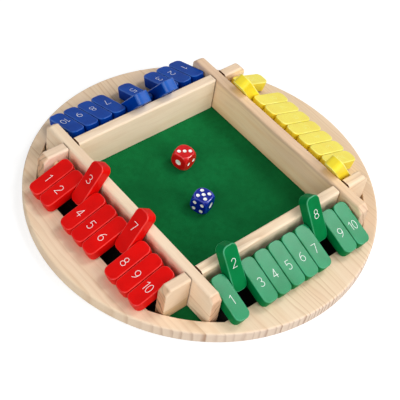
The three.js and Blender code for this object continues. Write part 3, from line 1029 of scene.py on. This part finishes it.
def make_banks():
    """Four dowels with ten tiles each, every tile and its numbers on the tile's own body."""
    finishes = tile_finishes()
    white_ink = print_ink("white_print", (250, 252, 250), (232, 240, 236))
    faint_ink = print_ink("pale_print", (252, 246, 150), (250, 238, 110))
    dowel_wood = pine("dowel_wood", "Y", DOWEL_SEED, ring=2.2, pale=rgb(232, 204, 160),
                      mid=rgb(218, 186, 140), dark=rgb(190, 150, 104))
    tile_shape = tile_mesh()
    numbers = range(1, TILES + 1)
    number_shapes = {number: both_faces(print_mesh(number)) for number in numbers}
    dowel_length = 2 * (TRAY_HALF + SOCKET_DEPTH - DOWEL_END_GAP)
    for quarter, bank in enumerate(BANKS):
        bank_turn = Matrix.Rotation(quarter * math.pi / 2, 4, "Z")
        rod = applied(cylinder(DOWEL_RADIUS, dowel_length, DOWEL_SIDES, DOWEL_CHAMFER, "Y"))
        place(f"{bank}_dowel_rod", rod, [dowel_wood], "board", [f"{bank}_dowel"],
              bank_turn @ Matrix.Translation((HINGE_LINE, 0, HINGE_HEIGHT)))
        ink = faint_ink if bank == "yellow" else white_ink
        for number in numbers:
            node = f"{bank}_tile_{number}"
            along = (number - (TILES + 1) / 2) * TILE_PITCH + SLIDE_SHARES[bank] * END_PLAY
            tilt = -RAISED_ANGLE if number in TILES_UP[bank] else FLAT_SLOPE
            at = (bank_turn @ Matrix.Translation((HINGE_LINE, along, HINGE_HEIGHT))
                  @ Matrix.Rotation(tilt, 4, "Y"))
            place(f"{node}_block", tile_shape.copy(), finishes[bank], node, [node], at)
            place(f"{node}_number", number_shapes[number].copy(), [ink], node, matrix=at)


# The dice on the felt: each face's value, where it looks, and which way its pips run
RED_DIE_FACES = [(3, (0, 0, 1), -1), (4, (0, 0, -1), 1), (1, (-1, 0, 0), 1),
                 (6, (1, 0, 0), 1), (2, (0, -1, 0), 1), (5, (0, 1, 0), 1)]
BLUE_DIE_FACES = [(5, (0, 0, 1), 1), (2, (0, 0, -1), 1), (4, (-1, 0, 0), 1),
                  (3, (1, 0, 0), 1), (1, (0, -1, 0), 1), (6, (0, 1, 0), 1)]
# Where the middle of each die is, as shares of half the tray, and its turn in degrees
RED_DIE_SHARES = (0.095, 0.457)
RED_DIE_TURN = 14.2
BLUE_DIE_SHARES = (-0.147, -0.176)
BLUE_DIE_TURN = 20.4
EDGE_SPECULAR = 0.8


def make_die(name, faces, centre_shares, turn, gloss, edge_gloss, pip_white):
    x, y = (share * TRAY_HALF for share in centre_shares)
    at = (Matrix.Translation((x, y, FELT_TOP + DIE_CLEARANCE + DIE_SIZE / 2))
          @ Matrix.Rotation(math.radians(turn), 4, "Z"))
    mesh = die_mesh(faces, [gloss, pip_white, edge_gloss])
    place(f"{name}_cube", mesh, [], name, [name], at)


def make_dice():
    pip_white = print_ink("pip_white", (252, 252, 250), (240, 240, 238))
    # The edge plastics are lighter than the faces: a painted highlight.
    make_die("red_die", RED_DIE_FACES, RED_DIE_SHARES, RED_DIE_TURN,
             plastic("red_gloss", (222, 14, 22), (204, 8, 16)),
             plastic("red_edge_painted_highlight", (232, 44, 50), (214, 20, 26), EDGE_SPECULAR), pip_white)
    make_die("blue_die", BLUE_DIE_FACES, BLUE_DIE_SHARES, BLUE_DIE_TURN,
             plastic("blue_gloss", (8, 34, 156), (4, 26, 138)),
             plastic("blue_edge_painted_highlight", (30, 60, 190), (14, 40, 160), EDGE_SPECULAR), pip_white)


# Room, lamps and camera. Lengths of the room and the lamps are in metres.

WHITE = grey(1.0)
FLOOR_GREY = grey(0.45)
FLOOR_LIFT = 0.7
FLOOR_RADIUS = 6.0
FLOOR_SIDES = 96
WORLD_LIGHT = 0.22
BACKDROP_LIGHT = 1.0
# Each lamp's name, direction, distance, side and radiance
LAMPS = [
    ("key_softbox", (0.25, -0.8, 0.47), 1.5, 1.1, 3.6),
    ("left_softbox", (-0.8, -0.25, 0.44), 1.6, 1.0, 3.7),
    ("top_softbox", (0.52, -0.12, 0.85), 1.5, 0.52, 9.2),
]
# The view that the rims, walls and tiles of the photograph give, in degrees and millimetres
CAMERA_AZIMUTH = -47.784
CAMERA_ELEVATION = 48.0977
CAMERA_ROLL = 10.9484
CAMERA_DISTANCE = 838.738
CAMERA_RIGHT = 3.3452
CAMERA_UP = 18.3131
CAMERA_AIM_HEIGHT = 20.0
CAMERA_LENS = 90.2136
CAMERA_SENSOR = 36.0
CAMERA_CLIP = (0.01, 50.0)


def seen_directly(tree):
    """1 for what the camera, a gloss or a clear material sees, and 0 for diffuse light."""
    path = tree.nodes.new("ShaderNodeLightPath")
    total = path.outputs["Is Camera Ray"]
    for name in ("Is Glossy Ray", "Is Transmission Ray"):
        either = tree.nodes.new("ShaderNodeMath")
        either.operation = "MAXIMUM"
        tree.links.new(total, either.inputs[0])
        tree.links.new(path.outputs[name], either.inputs[1])
        total = either.outputs[0]
    return total


def make_floor():
    bm = bmesh.new()
    bmesh.ops.create_circle(bm, cap_ends=True, segments=FLOOR_SIDES, radius=FLOOR_RADIUS)
    mesh = finish_mesh(bm, "floor")
    g = Graph("pale_floor")
    lift = g.math("MULTIPLY", seen_directly(g.tree), FLOOR_LIFT)
    mesh.materials.append(g.surface(Base_Color=FLOOR_GREY, Roughness=0.9, Specular_IOR_Level=0.0,
                                    Emission_Color=WHITE, Emission_Strength=lift))
    make_object("floor", mesh)


def make_world():
    """A dim white world that lights the object, in front of a white one that only shows."""
    world = bpy.data.worlds.new("studio")
    bpy.context.scene.world = world
    world.use_nodes = True
    tree = world.node_tree
    tree.nodes.clear()
    choose = tree.nodes.new("ShaderNodeMixShader")
    output = tree.nodes.new("ShaderNodeOutputWorld")
    tree.links.new(seen_directly(tree), choose.inputs[0])
    for socket, strength in ((1, WORLD_LIGHT), (2, BACKDROP_LIGHT)):
        background = tree.nodes.new("ShaderNodeBackground")
        background.inputs["Color"].default_value = WHITE
        background.inputs["Strength"].default_value = strength
        tree.links.new(background.outputs[0], choose.inputs[socket])
    tree.links.new(choose.outputs[0], output.inputs[0])


def make_lamp(name, direction, distance, size, radiance):
    """A square softbox that looks at the middle of the tray."""
    data = bpy.data.lights.new(name, "AREA")
    data.shape = "SQUARE"
    data.size = size
    data.energy = radiance * math.pi * size * size
    lamp = make_object(name, data)
    toward = Vector(direction).normalized()
    lamp.matrix_world = (Matrix.Translation(toward * distance)
                         @ toward.to_track_quat("Z", "Y").to_matrix().to_4x4())


def make_camera():
    azimuth, elevation, roll = (math.radians(a) for a in (CAMERA_AZIMUTH, CAMERA_ELEVATION, CAMERA_ROLL))
    back = Vector((math.sin(azimuth) * math.cos(elevation), -math.cos(azimuth) * math.cos(elevation),
                   math.sin(elevation)))
    level = Vector((math.cos(azimuth), math.sin(azimuth), 0))
    upright = back.cross(level)
    right = level * math.cos(roll) + upright * math.sin(roll)
    up = upright * math.cos(roll) - level * math.sin(roll)
    aim = Vector((0, 0, CAMERA_AIM_HEIGHT)) - right * CAMERA_RIGHT - up * CAMERA_UP
    data = bpy.data.cameras.new("camera")
    data.sensor_width = CAMERA_SENSOR
    data.lens = CAMERA_LENS
    data.clip_start, data.clip_end = CAMERA_CLIP
    camera = make_object("camera", data)
    turned = Matrix((right, up, back)).transposed().to_4x4()
    camera.matrix_world = Matrix.Translation((aim + back * CAMERA_DISTANCE) * MM) @ turned
    bpy.context.scene.camera = camera


make_board()
make_felt()
seam_shade = seam_shade_paint("painted_seam_shade")
make_walls(seam_shade)
make_cheeks(seam_shade)
make_banks()
make_dice()
make_floor()
make_world()
for lamp_settings in LAMPS:
    make_lamp(*lamp_settings)
make_camera()
bpy.context.scene.view_settings.view_transform = "Standard"
